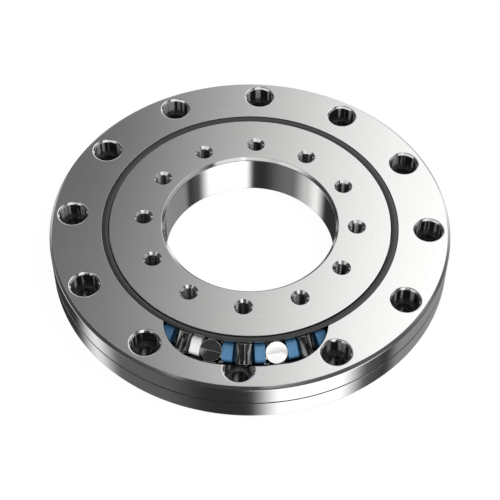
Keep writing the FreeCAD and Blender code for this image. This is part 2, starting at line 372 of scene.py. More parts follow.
class EffectLibrary:
    """Builds each node group the first time that a material asks for it."""

    def __init__(self) -> None:
        """Names the function that builds each group."""
        self.makers: dict[Effect, Callable[[], Tree]] = {
            Effect.LAY: self.turned_lay,
            Effect.GRAIN: self.moulded_grain,
            Effect.HAZE: self.handling_haze,
            Effect.SOFTBOX: self.softbox,
        }

    def place(self, graph: Graph, effect: Effect, inputs: dict) -> Node:
        """Places an effect in a material.

        Args:
            graph: The material's nodes.
            effect: Which group.
            inputs: The group's own values, by name.

        Returns:
            The group node.
        """
        tree = bpy.data.node_groups.get(effect.value) or self.makers[effect]()
        return graph.node("ShaderNodeGroup", inputs, node_tree=tree)

    @staticmethod
    def start(effect: Effect, inputs: dict[str, float], outputs: Sequence[str]) -> tuple:
        """Starts a group with named number sockets.

        Args:
            effect: The group to build.
            inputs: The inputs' names and defaults.
            outputs: The outputs' names.

        Returns:
            The graph, the sockets that give the inputs, and the node that takes the outputs.
        """
        tree = bpy.data.node_groups.new(effect.value, "ShaderNodeTree")
        for name, default in inputs.items():
            socket = tree.interface.new_socket(name, in_out="INPUT", socket_type="NodeSocketFloat")
            socket.default_value = default
        for name in outputs:
            tree.interface.new_socket(name, in_out="OUTPUT", socket_type="NodeSocketFloat")
        graph = Graph(tree)
        return graph, graph.node("NodeGroupInput").outputs, graph.node("NodeGroupOutput")

    def turned_lay(self) -> Tree:
        """Fine tool lines that run round the piece's own Z axis, on faces and walls alike."""
        graph, given, out = self.start(Effect.LAY, {"Lines": 4000.0, "Drift": 2.0}, ("Lay", "Band"))
        axes = graph.node("ShaderNodeSeparateXYZ", {0: graph.here()}).outputs
        level = graph.node("ShaderNodeCombineXYZ", {0: axes[0], 1: axes[1]}).outputs[0]
        radius = graph.vector("LENGTH", level, output="Value")
        drift = graph.vector("SCALE", graph.vector("NORMALIZE", level), Scale=given["Drift"])
        across = graph.math("MULTIPLY", graph.math("SUBTRACT", radius, axes[2]), given["Lines"])
        point = graph.vector("ADD", drift, graph.node("ShaderNodeCombineXYZ", {2: across}).outputs[0])
        graph.link(graph.noise(point, Scale=1.0, Detail=4.0, Roughness=0.65), out, "Lay")
        graph.link(graph.noise(point, Scale=0.12, Detail=1.0), out, "Band")
        return graph.tree

    def moulded_grain(self) -> Tree:
        """The fine skin of moulded plastic or rubber, and its slow unevenness."""
        graph, given, out = self.start(Effect.GRAIN, {"Size": 3000.0, "Mottle Size": 250.0}, ("Grain", "Mottle"))
        place = graph.here()
        graph.link(graph.noise(place, Scale=given["Size"], Detail=3.0), out, "Grain")
        graph.link(graph.noise(place, Scale=given["Mottle Size"], Detail=2.0), out, "Mottle")
        return graph.tree

    def handling_haze(self) -> Tree:
        """Soft patches where the oil film is a little thicker."""
        graph, given, out = self.start(Effect.HAZE, {"Size": 30.0, "Sharpness": 0.25}, ("Haze",))
        cloud = graph.noise(graph.here(), Scale=given["Size"], Detail=4.0, Distortion=0.6)
        low = graph.math("SUBTRACT", 0.5, given["Sharpness"])
        high = graph.math("ADD", 0.5, given["Sharpness"])
        graph.link(graph.span(cloud, low, high, smooth=True), out, "Haze")
        return graph.tree

    def softbox(self) -> Tree:
        """How bright a soft panel is in one direction of the studio."""
        names = {"Azimuth": 0.0, "Elevation": 0.0, "Centre": 0.0, "Half Width": 10.0, "Side Blur": 5.0,
                 "Height": 0.0, "Half Height": 10.0, "Edge Blur": 5.0, "Slant": 0.0, "Level": 1.0}
        graph, given, out = self.start(Effect.SOFTBOX, names, ("Light",))
        height = graph.math("SUBTRACT", given["Elevation"], given["Height"])
        side = graph.math("SUBTRACT", given["Azimuth"], given["Centre"])
        turned = graph.math("SUBTRACT", side, graph.math("MULTIPLY", height, given["Slant"]))
        across = graph.math("ABSOLUTE", graph.math("WRAP", turned, 180.0, -180.0))
        light = given["Level"]
        for distance, half, blur in ((across, given["Half Width"], given["Side Blur"]),
                                     (graph.math("ABSOLUTE", height), given["Half Height"], given["Edge Blur"])):
            outer, inner = graph.math("ADD", half, blur), graph.math("SUBTRACT", half, blur)
            light = graph.math("MULTIPLY", light, graph.span(distance, outer, inner, smooth=True))
        graph.link(light, out, "Light")
        return graph.tree


EFFECTS = EffectLibrary()


@dataclass(frozen=True)
class Finish:
    """What every finish shares: its name and its two nearby colours."""

    name: str
    colour: Colour
    variation: Colour

    def start(self, **constants: float) -> tuple[Material, Graph, Node]:
        """Makes an empty material with a Principled shader.

        Args:
            constants: Values of the shader's own sockets, with _ for a space.

        Returns:
            The material, its graph and its shader.
        """
        material = bpy.data.materials.new(self.name)
        material.use_nodes = True
        material.node_tree.nodes.clear()
        graph = Graph(material.node_tree)
        shader = graph.node("ShaderNodeBsdfPrincipled", {k.replace("_", " "): v for k, v in constants.items()})
        graph.node("ShaderNodeOutputMaterial", {"Surface": shader.outputs[0]})
        return material, graph, shader

    def skin(self, graph: Graph, shader: Node, share: Socket, rough: Socket, height: Socket,
             relief: Point) -> None:
        """Lays the patterns on the shader.

        Args:
            graph: The material's nodes.
            shader: Its shader.
            share: How much of the second colour shows.
            rough: The roughness.
            height: The pattern that raises the surface.
            relief: How deep that pattern is in metres, and its strength.
        """
        bump = graph.node("ShaderNodeBump", {"Height": height, "Distance": relief[0], "Strength": relief[1]})
        graph.link(graph.blend(share, self.colour, self.variation), shader, "Base Color")
        graph.link(rough, shader, "Roughness")
        graph.link(bump.outputs["Normal"], shader, "Normal")


@dataclass(frozen=True)
class TurnedSteel(Finish):
    """Bearing steel with fine tool or grinding lines round its axis."""

    smoothest: float
    roughest: float
    lines: float
    depth: float
    contrast: Point = (0.35, 0.65)

    def material(self) -> Material:
        """Builds the material: lines in its colour, roughness and normal, and a faint oil haze."""
        material, graph, shader = self.start(Metallic=1.0)
        lay = EFFECTS.place(graph, Effect.LAY, {"Lines": self.lines, "Drift": 1.5})
        haze = EFFECTS.place(graph, Effect.HAZE, {"Size": 35.0, "Sharpness": 0.3}).outputs["Haze"]
        shade = graph.span(graph.mean(lay.outputs["Lay"], lay.outputs["Band"]), *self.contrast)
        rough = graph.span(graph.mean(shade, haze), 0.0, 1.0, (self.smoothest, self.roughest))
        self.skin(graph, shader, shade, rough, lay.outputs["Lay"], (self.depth, 1.0))
        return material


@dataclass(frozen=True)
class DrilledSteel(Finish):
    """A dark skin for holes, with streaks along them, and painted shade that turns it blacker with depth.

    The heights between which the painted shade fades the streaks are in metres along the piece's own Z axis.
    """

    roughness: float
    streaks: float
    black_below: float
    grey_above: float
    spread: float = 0.04
    stretch: float = 0.03
    sharpness: Point = (0.5, 0.6)
    faintest: float = 0.05
    relief: Point = (1e-6, 0.3)

    def material(self) -> Material:
        """Builds the material: streaks and painted depth shade in its colour, mottle in its roughness, and a fine
        grain.
        """
        material, graph, shader = self.start(Metallic=0.35)
        grain = EFFECTS.place(graph, Effect.GRAIN, {"Size": 2500.0, "Mottle Size": 500.0})
        place = graph.here()
        drawn = graph.vector("MULTIPLY", place, (1.0, 1.0, self.stretch))
        height = graph.node("ShaderNodeSeparateXYZ", {0: place}).outputs["Z"]
        # Painted shade: the streaks fade towards the dark colour deeper down in the hole.
        seen = graph.span(height, self.black_below, self.grey_above, (self.faintest, 1.0))
        streak = graph.span(graph.noise(drawn, Scale=self.streaks, Detail=1.0), *self.sharpness)
        rough = graph.about(grain.outputs["Mottle"], self.roughness, self.spread)
        self.skin(graph, shader, graph.math("MULTIPLY", streak, seen), rough, grain.outputs["Grain"], self.relief)
        return material


@dataclass(frozen=True)
class Moulded(Finish):
    """Moulded plastic or rubber with a fine skin."""

    roughness: float
    grain_size: float
    depth: float
    specular: float = 0.5
    spread: float = 0.06
    mottle_ratio: float = 12.0
    contrast: Point = (0.3, 0.7)

    def material(self) -> Material:
        """Builds the material: mottled colour, and grain in its roughness and normal."""
        material, graph, shader = self.start(Specular_IOR_Level=self.specular)
        sizes = {"Size": self.grain_size, "Mottle Size": self.grain_size / self.mottle_ratio}
        grain = EFFECTS.place(graph, Effect.GRAIN, sizes)
        mottle = graph.span(grain.outputs["Mottle"], *self.contrast)
        rough = graph.about(grain.outputs["Grain"], self.roughness, self.spread)
        self.skin(graph, shader, mottle, rough, grain.outputs["Grain"], (self.depth, 0.6))
        return material


@dataclass(frozen=True)
class BlackOxide(Finish):
    """Blackened screw steel, greyer where the tool marks lie."""

    roughness: float
    spread: float = 0.08
    contrast: Point = (0.35, 0.7)
    relief: Point = (4e-6, 0.5)

    def material(self) -> Material:
        """Builds the material from the lay and the grain."""
        material, graph, shader = self.start(Metallic=0.8)
        grain = EFFECTS.place(graph, Effect.GRAIN, {"Size": 2500.0, "Mottle Size": 600.0})
        lay = EFFECTS.place(graph, Effect.LAY, {"Lines": 6000.0, "Drift": 1.0}).outputs["Lay"]
        mottle = graph.span(grain.outputs["Mottle"], *self.contrast)
        rough = graph.about(lay, self.roughness, self.spread)
        self.skin(graph, shader, mottle, rough, grain.outputs["Grain"], self.relief)
        return material


def grey(level: float, blue: float = 0.0) -> Colour:
    """A grey whose blue part may be off by a little."""
    return level, level, round(level + blue, 4)


class Finishes:
    """The bearing's materials: one for each of the record's slots, and the darker skins that paint shade in holes and
    on roller sides.
    """

    def __init__(self) -> None:
        """Builds each material once."""
        finishes = {
            Slot.RING: TurnedSteel("turned_ring_steel", grey(0.725, -0.01), grey(0.755, -0.01),
                                   smoothest=0.09, roughest=0.13, lines=6000.0, depth=4e-7),
            Slot.ROLLER: TurnedSteel("polished_roller_steel", grey(0.76), grey(0.84),
                                     smoothest=0.03, roughest=0.07, lines=9000.0, depth=2e-7),
            Slot.SEAL: Moulded("seal_rubber_skin", grey(0.006), grey(0.01),
                               roughness=0.34, grain_size=2600.0, depth=8e-6, specular=0.85),
            Slot.BLUE: Moulded("blue_spacer_plastic", (0.075, 0.20, 0.36), (0.095, 0.24, 0.42),
                               roughness=0.34, grain_size=3200.0, depth=4e-6),
            Slot.WHITE: Moulded("white_spacer_plastic", grey(0.93), grey(0.97),
                                roughness=0.34, grain_size=3200.0, depth=4e-6),
            Slot.SCREW: BlackOxide("black_oxide_steel", grey(0.03, 0.003), grey(0.07, 0.005), roughness=0.38),
        }
        self.materials = {slot: finish.material() for slot, finish in finishes.items()}
        # Painted shade: the holes' skins grow blacker with depth, and the drilled one also darkens the joint's groove.
        self.drilled = DrilledSteel("drilled_hole_streaks_and_painted_shade", grey(0.02), grey(0.5, -0.01), roughness=0.20,
                                    streaks=420.0, black_below=0.0165, grey_above=0.0180).material()
        self.tapped = DrilledSteel("tapped_hole_streaks_and_painted_shade", grey(0.03), grey(0.40, -0.01), roughness=0.11,
                                   streaks=420.0, black_below=0.010, grey_above=0.0165).material()
        # Painted shade: a far darker copy of the roller steel for the rollers' sides.
        self.roller_side_shade = TurnedSteel("roller_side_painted_shade", grey(0.27), grey(0.33),
                                 smoothest=0.04, roughest=0.08, lines=9000.0, depth=2e-7).material()

    def dress(self, piece: Object, slot: Slot) -> None:
        """Gives a piece the material of a slot."""
        piece.data.materials.clear()
        piece.data.materials.append(self.materials[slot])

    @staticmethod
    def paint_hole_shade(ring: Object, skin: Material, centres: Sequence[Point], radius: float, top: float) -> None:
        """Gives the inside of a ring's holes a darker skin, whose painted shade deepens further down.

        Args:
            ring: The ring, already dressed.
            skin: The drilled or the tapped finish.
            centres: The holes' axes, in millimetres.
            radius: The holes' largest radius below the given height.
            top: The height below which the holes are dark.
        """
        ring.data.materials.append(skin)
        axes = [Vector(centre) * MM for centre in centres]
        reach = (radius + HOLE_MARGIN) * MM
        # Painted shade: every face on a hole's wall below the mouth takes the darker skin.
        for face in ring.data.polygons:
            if face.center.z < top * MM and min((face.center.xy - axis).length for axis in axes) < reach:
                face.material_index = PAINTED_SHADE_SLOT

    @staticmethod
    def paint_joint_shade(ring: Object, chamfer: float) -> None:
        """Gives the joint's chamfer on a half of the outer ring painted shade: a dark line where the groove between the
        halves is shaded.

        Args:
            ring: The half, with the drilled finish in its second slot.
            chamfer: The chamfer's leg, in millimetres.
        """
        inside = (SIZES.outer_radius - chamfer - GROOVE_MARGIN) * MM
        reach = GROOVE_SHARE * chamfer * MM
        # Painted shade: the chamfer's faces next to the joint take the dark skin.
        for face in ring.data.polygons:
            if face.center.xy.length > inside and abs(face.center.z - SIZES.middle * MM) < reach:
                face.material_index = PAINTED_SHADE_SLOT


# The bearing


def roller_joint(number: int) -> dict:
    """The spin joint of a roller, by its number from 1."""
    return next(joint for joint in frame["joints"] if joint["name"] == f"roller_{number:02d}_spin")


@dataclass(frozen=True)
class Measures:
    """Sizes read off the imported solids, in millimetres."""

    outer_radius: float
    width: float
    middle: float
    seat_radius: float
    seal_bottom: float
    seal_top: float
    pitch_radius: float
    bore_radius: float

    @classmethod
    def read(cls) -> "Measures":
        """Reads the boxes of the rings and seals, and the rollers' circle from a roller's joint."""
        upper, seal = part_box("outer_ring_upper"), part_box("upper_seal")
        inner = frame["nodes"]["inner_ring"].data.vertices
        return cls(
            outer_radius=round(upper[1].x / MM, 3),
            width=round(upper[1].z / MM, 3),
            middle=round(upper[0].z / MM, 3),
            seat_radius=round(seal[1].x / MM, 3),
            seal_bottom=round(seal[0].z / MM, 3),
            seal_top=round(seal[1].z / MM, 3),
            pitch_radius=round(math.hypot(*roller_joint(1)["pos_m"][:2]) / MM, 3),
            bore_radius=round(min(vertex.co.xy.length for vertex in inner) / MM, 3),
        )


SIZES = Measures.read()


@dataclass
class Race:
    """The square race that both rings share, and the gap between their lands."""

    roller_radius: float = 5.6
    clearance: float = 0.1
    relief: float = 0.2
    relief_half: float = 0.5
    ring_gap: float = 1.2
    land_rounding: float = 0.1
    seat_rounding: float = 0.12

    @property
    def depth(self) -> float:
        """From the rollers' circle to the race's apex."""
        return (self.roller_radius + self.clearance) * math.sqrt(2)

    @property
    def end(self) -> float:
        """The radius of the relief behind the race in the outer ring."""
        return SIZES.pitch_radius + self.depth + self.relief

    def flank(self, outwards: bool) -> list[Corner]:
        """The race's upper half in one ring, from the land down to mid-width."""
        sign = 1 if outwards else -1
        land = self.ring_gap / 2
        far, half = self.depth + self.relief, self.relief_half
        offsets = ((land, self.depth - land, self.land_rounding), (self.depth - half, half, 0.0), (far, half, 0.0),
                   (far, 0.0, 0.0))
        return [Corner(SIZES.pitch_radius + sign * out, SIZES.middle + up, edge) for out, up, edge in offsets]


def mirrored(corners: Sequence[Corner]) -> list[Corner]:
    """The same corners below mid-width, in the opposite order."""
    return [Corner(c.radius, SIZES.width - c.height, c.rounding) for c in reversed(corners)]


def carved(piece: Object, cutter: Object) -> Object:
    """Cuts one solid away from another, and keeps neither of the two.

    Args:
        piece: The solid to cut.
        cutter: What is taken away.

    Returns:
        The cut solid, under the piece's name.
    """
    piece.modifiers.clear()
    cut = piece.modifiers.new("cut", "BOOLEAN")
    cut.object, cut.operation, cut.solver = cutter, "DIFFERENCE", "EXACT"
    evaluated = piece.evaluated_get(bpy.context.evaluated_depsgraph_get())
    data, name = bpy.data.meshes.new_from_object(evaluated), piece.name
    for done in (piece, cutter):
        bpy.data.objects.remove(done)
    clean = bmesh.new()
    clean.from_mesh(data)
    bmesh.ops.remove_doubles(clean, verts=clean.verts, dist=MERGE_DISTANCE * MM)
    bmesh.ops.dissolve_degenerate(clean, edges=clean.edges, dist=MERGE_DISTANCE * MM)
    bmesh.ops.dissolve_limit(clean, angle_limit=FLAT_ANGLE, verts=clean.verts, edges=clean.edges)
    clean.to_mesh(data)
    clean.free()
    return smooth_object(name, data)


@dataclass
class Window:
    """The bean-shaped display window, whose walls lean inwards as they go down."""

    race: Race = field(default_factory=Race)
    angle: float = -88.5
    half_span: float = 13.5
    corner_radius: float = 25.2
    lean: float = 55.5
    ledge: float = 0.15
    edge: float = 0.3
    seal_inset: float = 0.5
    end_steps: int = 24
    sweep_steps: int = 48

    @property
    def slope(self) -> float:
        """How far the walls lean inwards for each millimetre down."""
        return 1 / math.tan(math.radians(self.lean))

    def placed(self, points: Sequence[Vector], lean: float, height: float) -> list[Vector]:
        """Flat points shifted along the lean, turned to the window's angle and set at a height."""
        turn = Matrix.Rotation(math.radians(self.angle - FRONT), 2)
        return [(turn @ (point + Vector((0, lean)))).to_3d() + Vector((0, 0, height)) for point in points]

    def outline(self, grow: float, height: float) -> list[Vector]:
        """The window's outline at one height.

        Args:
            grow: How far the outline is set outwards.
            height: The height; the outline leans inwards below the top face.

        Returns:
            The outline's points, in millimetres.
        """
        rim = self.race.end + self.ledge + SIZES.middle * self.slope
        centre, corner, half = rim - self.corner_radius, self.corner_radius + grow, self.half_span
        ends = []
        for side in (1, -1):
            middle = Vector(polar(centre, FRONT + side * half))
            turns = [FRONT + side * (half + 90 * k / self.end_steps) for k in range(1, self.end_steps + 1)]
            ends.append([middle + Vector(polar(corner, turn)) for turn in turns])
        turns = [FRONT - half + 2 * half * k / self.sweep_steps for k in range(self.sweep_steps + 1)]
        sweep = [Vector(polar(rim + grow, turn)) for turn in turns]
        return self.placed(sweep + ends[0] + ends[1][::-1], (SIZES.width - height) * self.slope, height)

    def prism(self, levels: Sequence[list[Vector]]) -> Object:
        """A closed solid through outlines that have as many points, from the lowest up."""
        maker = MeshMaker()
        rims = [[maker.mesh.verts.new(point) for point in level] for level in levels]
        for first, second in zip(rims, rims[1:]):
            maker.bridge(first, second)
        maker.flat(rims[:1])
        maker.flat(rims[-1:])
        return maker.finish("cutter")

    def ring_cutter(self) -> Object:
        """What the window takes out of the ring, with a broken upper edge."""
        top, edge = SIZES.width, self.edge
        levels = ((0.0, SIZES.middle - CUT_MARGIN), (0.0, top - edge), ((edge + CUT_MARGIN) / 2, top + CUT_MARGIN))
        return self.prism([self.outline(*level) for level in levels])

    def seal_cutter(self) -> Object:
        """What the window takes off the seal's outer edge, with the same lean."""
        points = [Vector(polar(SIZES.seat_radius, 360 * k / RING_SEGMENTS)) for k in range(RING_SEGMENTS)]
        heights = (SIZES.seal_bottom - CUT_MARGIN, SIZES.seal_top + CUT_MARGIN)
        leans = [self.seal_inset + (SIZES.seal_top - height) * self.slope for height in heights]
        kept = self.prism([self.placed(points, lean, height) for lean, height in zip(leans, heights)])
        return carved(self.ring_cutter(), kept)


@dataclass
class OuterRing:
    """The two bolted halves of the outer ring, with counterbored holes and the display window."""

    finishes: Finishes
    race: Race = field(default_factory=Race)
    window: Window = field(default_factory=Window)
    edge_chamfer: float = 1.5
    edge_rounding: float = 0.9
    upper_joint_chamfer: float = 0.4
    lower_joint_chamfer: float = 0.6
    joint_rounding: float = 0.2
    groove_rounding: float = 0.08
    chamfer_rounding: float = 0.25
    hole_count: int = 12
    hole_inset: float = 11.5
    hole_radius: float = 4.5
    counterbore_radius: float = 7.0
    counterbore_depth: float = 8.6
    counterbore_chamfer: float = 1.0
    mouth_rounding: float = 0.9
    mouth_strip: float = 1.0
    floor_rounding: float = 0.3
    hole_rounding: float = 0.15
    joint_hole_rounding: float = 0.05
    screw_count: int = 6
    screw_pocket: Point = (3.8, 4.4)
    screw_hole_radius: float = 2.2
    screw_tip: Point = (2.03, 20.5)

    def holes(self) -> list[Point]:
        """The mounting holes' centres."""
        return hole_circle(SIZES.outer_radius - self.hole_inset, self.hole_count)

    def screws(self) -> list[Point]:
        """The joint screws' centres, between the mounting holes."""
        return hole_circle(SIZES.outer_radius - self.hole_inset, self.screw_count, FRONT + 180 / self.hole_count)

    def inner_wall(self) -> list[Corner]:
        """From the top face down the seal's seat and the race to mid-width."""
        land = SIZES.pitch_radius + self.race.ring_gap / 2
        seat = SIZES.seat_radius
        return [Corner(seat + STRIP, SIZES.width), Corner(seat, SIZES.width, self.race.seat_rounding),
                Corner(seat, SIZES.seal_bottom), Corner(land, SIZES.seal_bottom, self.race.land_rounding),
                *self.race.flank(outwards=True), Corner(self.race.end + STRIP, SIZES.middle)]

    def outer_wall(self, joint: float) -> list[Corner]:
        """From the top face over the chamfered rim to the joint."""
        rim, top = SIZES.outer_radius, SIZES.width
        face = rim - self.edge_chamfer
        return [Corner(face - STRIP, top), Corner(face, top, self.chamfer_rounding),
                Corner(rim, top - self.edge_chamfer, self.edge_rounding),
                Corner(rim, SIZES.middle + joint, self.joint_rounding),
                Corner(rim - joint, SIZES.middle, self.groove_rounding), Corner(rim - joint - STRIP, SIZES.middle)]

    def counterbore(self) -> list[Corner]:
        """A mounting hole in the upper half, from the top face to the joint."""
        top, floor = SIZES.width, SIZES.width - self.counterbore_depth
        wide, hole = self.counterbore_radius, self.hole_radius
        mouth = wide + self.counterbore_chamfer
        return [Corner(mouth + self.mouth_strip, top), Corner(mouth, top, self.mouth_rounding),
                Corner(wide, top - self.counterbore_chamfer, self.chamfer_rounding),
                Corner(wide, floor, self.floor_rounding), Corner(hole, floor, self.hole_rounding),
                Corner(hole, SIZES.middle, self.joint_hole_rounding), Corner(hole + STRIP, SIZES.middle)]

    def upper_half(self) -> Object:
        """The half with the counterbores, blind screw holes and the window."""
        maker = MeshMaker()
        walls = [maker.wall(rounded(self.inner_wall()), RING_SEGMENTS),
                 maker.wall(rounded(self.outer_wall(self.upper_joint_chamfer)), RING_SEGMENTS)]
        walls += [maker.wall(rounded(self.counterbore()), BORE_SEGMENTS, place) for place in self.holes()]
        joint_rims = [rims[1] for rims in walls]
        radius, depth = self.screw_tip
        for place in self.screws():
            outline = [(radius + STRIP, SIZES.middle), (radius, SIZES.middle), (radius, depth)]
            mouth, end = maker.wall(outline, THREAD_SEGMENTS, place)
            maker.flat([end])
            joint_rims.append(mouth)
        maker.flat([rims[0] for rims in walls])
        maker.flat(joint_rims)
        return carved(maker.finish("turned_outer_ring_upper"), self.window.ring_cutter())

    def lower_half(self) -> Object:
        """The half with plain through holes and the screw heads' pockets."""
        maker = MeshMaker()
        hole, narrow, (wide, deep) = self.hole_radius, self.screw_hole_radius, self.screw_pocket
        inner, outer = mirrored(self.inner_wall()), mirrored(self.outer_wall(self.lower_joint_chamfer))
        walls = [maker.wall(rounded(wall), RING_SEGMENTS) for wall in (inner, outer)]
        plain = [Corner(hole + STRIP, SIZES.middle), Corner(hole, SIZES.middle, self.joint_hole_rounding),
                 Corner(hole, 0, self.hole_rounding), Corner(hole + STRIP, 0)]
        pocket = [Corner(narrow + STRIP, SIZES.middle), Corner(narrow, SIZES.middle), Corner(narrow, deep),
                  Corner(wide, deep), Corner(wide, 0, self.hole_rounding), Corner(wide + STRIP, 0)]
        for places, outline in ((self.holes(), plain), (self.screws(), pocket)):
            walls += [maker.wall(rounded(outline), BORE_SEGMENTS, place) for place in places]
        for rims in zip(*walls):
            maker.flat(rims)
        return maker.finish("turned_outer_ring_lower")

    def build(self) -> list[Object]:
        """Builds both halves and dresses them and the joint's screws.

        Returns:
            The two halves and the screws.
        """
        pieces = []
        mouth = SIZES.width - self.counterbore_chamfer
        for node, half, radius, chamfer in (
                ("outer_ring_upper", self.upper_half(), self.counterbore_radius, self.upper_joint_chamfer),
                ("outer_ring_lower", self.lower_half(), self.hole_radius, self.lower_joint_chamfer)):
            self.finishes.dress(half, Slot.RING)
            # Painted shade in the holes and in the joint's groove.
            self.finishes.paint_hole_shade(half, self.finishes.drilled, self.holes(), radius, mouth)
            self.finishes.paint_joint_shade(half, chamfer)
            pieces.append(stand_in(half, node, "outer_ring"))
        screws = frame["nodes"]["ring_screws"]
        self.finishes.dress(screws, Slot.SCREW)
        return pieces + [screws]


@dataclass
class InnerRing:
    """The one-piece inner ring with real threads in its tapped holes."""

    finishes: Finishes
    race: Race = field(default_factory=Race)
    edge_chamfer: float = 1.5
    chamfer_rounding: float = 0.25
    bore_rounding: float = 0.7
    land_step: float = 0.6
    shoulder_clearance: float = 0.15
    hole_count: int = 12
    hole_inset: float = 11.0
    core_radius: float = 3.4
    countersink_radius: float = 4.8
    thread_radius: float = 4.0
    thread_pitch: float = 1.25
    thread_profile: tuple[float, ...] = (0.0, 0.32, 0.6, 0.72)
    run_out: float = 0.8

    def bore_wall(self) -> list[Corner]:
        """The chamfered bore, from the top face to the bottom face."""
        bore, top, cut = SIZES.bore_radius, SIZES.width, self.edge_chamfer
        upper = [Corner(bore + cut + STRIP, top), Corner(bore + cut, top, self.chamfer_rounding),
                 Corner(bore, top - cut, self.bore_rounding)]
        return upper + mirrored(upper)

    def race_wall(self) -> list[Corner]:
        """The seal lands and the race, from the top face to the bottom face."""
        land = SIZES.pitch_radius - self.race.ring_gap / 2
        run = land - self.land_step
        shoulder = SIZES.seal_bottom - self.shoulder_clearance
        upper = [Corner(run - STRIP, SIZES.width), Corner(run, SIZES.width, self.race.seat_rounding),
                 Corner(run, shoulder), Corner(land, shoulder, self.race.land_rounding),
                 *self.race.flank(outwards=False)[:-1]]
        return upper + mirrored(upper)

    def thread_depth(self, phase: float) -> float:
        """How far the groove is cut at a phase of the thread, as a share from 0 to 1."""
        _, flank, root, end = self.thread_profile
        if phase < flank:
            return 0.0
        if phase < root:
            return (phase - flank) / (root - flank)
        return 1.0 if phase <= end else (1.0 - phase) / (1.0 - end)

    def tapped_hole(self, maker: MeshMaker, centre: Point) -> tuple[Rim, Rim]:
        """A countersunk hole with a right-hand thread, its rows laid along the helix.

        Args:
            maker: The ring's mesh.
            centre: The hole's axis.

        Returns:
            The rim at the top and the rim at the bottom.
        """
        top, count, marks = SIZES.width, THREAD_SEGMENTS, len(self.thread_profile)
        turns = math.ceil(top / self.thread_pitch) + 1
        rows = []
        for row in range(-marks, turns * marks):
            around = []
            for column in range(count):
                share = column / count
                mark = self.thread_profile[row % marks]
                height = top + (share - row // marks - mark) * self.thread_pitch
                depth = self.thread_depth(mark) * min(1.0, max(height, 0.0) / self.run_out)
                height = min(max(height, 0.0), top)
                cone = self.countersink_radius - (top - height)
                radius = max(self.core_radius + depth * (self.thread_radius - self.core_radius), cone)
                x, y = polar(radius, 360 * share)
                around.append(maker.mesh.verts.new((centre[0] + x, centre[1] + y, height)))
            rows.append(around)
        for number, (upper, lower) in enumerate(zip(rows, rows[1:])):
            for column in range(count - 1):
                maker.mesh.faces.new((upper[column], upper[column + 1], lower[column + 1], lower[column]))
            if number >= marks:
                above, below = rows[number - marks], rows[number - marks + 1]
                maker.mesh.faces.new((upper[-1], above[0], below[0], lower[-1]))
        rim_top = maker.ring(self.countersink_radius, top, count, centre)
        rim_bottom = maker.ring(self.core_radius, 0.0, count, centre)
        mouth = maker.ring(self.countersink_radius + STRIP, top, count, centre)
        foot = maker.ring(self.core_radius + STRIP, 0.0, count, centre)
        maker.bridge(mouth, rim_top)
        maker.bridge(rim_bottom, foot)
        return mouth, foot

    def build(self) -> list[Object]:
        """Builds and dresses the inner ring.

        Returns:
            The ring.
        """
        maker = MeshMaker()
        walls = [maker.wall(rounded(wall), RING_SEGMENTS) for wall in (self.bore_wall(), self.race_wall())]
        centres = hole_circle(SIZES.bore_radius + self.hole_inset, self.hole_count)
        walls += [self.tapped_hole(maker, centre) for centre in centres]
        for rims in zip(*walls):
            maker.flat(rims)
        ring = maker.finish("turned_inner_ring")
        self.finishes.dress(ring, Slot.RING)
        cone = self.countersink_radius - self.core_radius
        self.finishes.paint_hole_shade(ring, self.finishes.tapped, centres, self.thread_radius, SIZES.width - cone)
        return [stand_in(ring, "inner_ring", "inner_ring")]


@dataclass
class Seals:
    """The two rubber rings that close the gap between the rings."""

    finishes: Finishes
    window: Window = field(default_factory=Window)
    lip_radius: float = 73.95
    lip_chamfer: float = 0.6
    crown: float = 0.12
    root_rounding: float = 0.15
    lip_rounding: float = 0.2
    bevel_rounding: float = 0.5
    crown_rounding: float = 1.5
    rim_rounding: float = 0.35

    def outline(self) -> list[Point]:
        """The upper seal's closed section, with a softly crowned face."""
        lip, rim, low, high = self.lip_radius, SIZES.seat_radius, SIZES.seal_bottom, SIZES.seal_top
        middle = (lip + rim) / 2
        corners = [Corner(middle, low), Corner(lip, low, self.root_rounding),
                   Corner(lip, high - self.lip_chamfer, self.lip_rounding),
                   Corner(lip + self.lip_chamfer, high - self.crown, self.bevel_rounding),
                   Corner(middle, high, self.crown_rounding), Corner(rim, high - self.crown, self.rim_rounding),
                   Corner(rim, low, self.root_rounding), Corner(middle, low)]
        return rounded(corners)[:-1]

    def build(self) -> list[Object]:
        """Builds and dresses both seals.

        Returns:
            The two seals.
        """
        pieces = []
        for face, node in ((Face.TOP, "upper_seal"), (Face.BOTTOM, "lower_seal")):
            outline = self.outline()
            if face is Face.BOTTOM:
                outline = [(radius, SIZES.width - height) for radius, height in outline]
            maker = MeshMaker()
            maker.wall(outline, RING_SEGMENTS, closed=True)
            seal = maker.finish(f"moulded_{node}")
            if face is Face.TOP:
                seal = carved(seal, self.window.seal_cutter())
            self.finishes.dress(seal, Slot.SEAL)
            pieces.append(stand_in(seal, node, "outer_ring"))
        return pieces


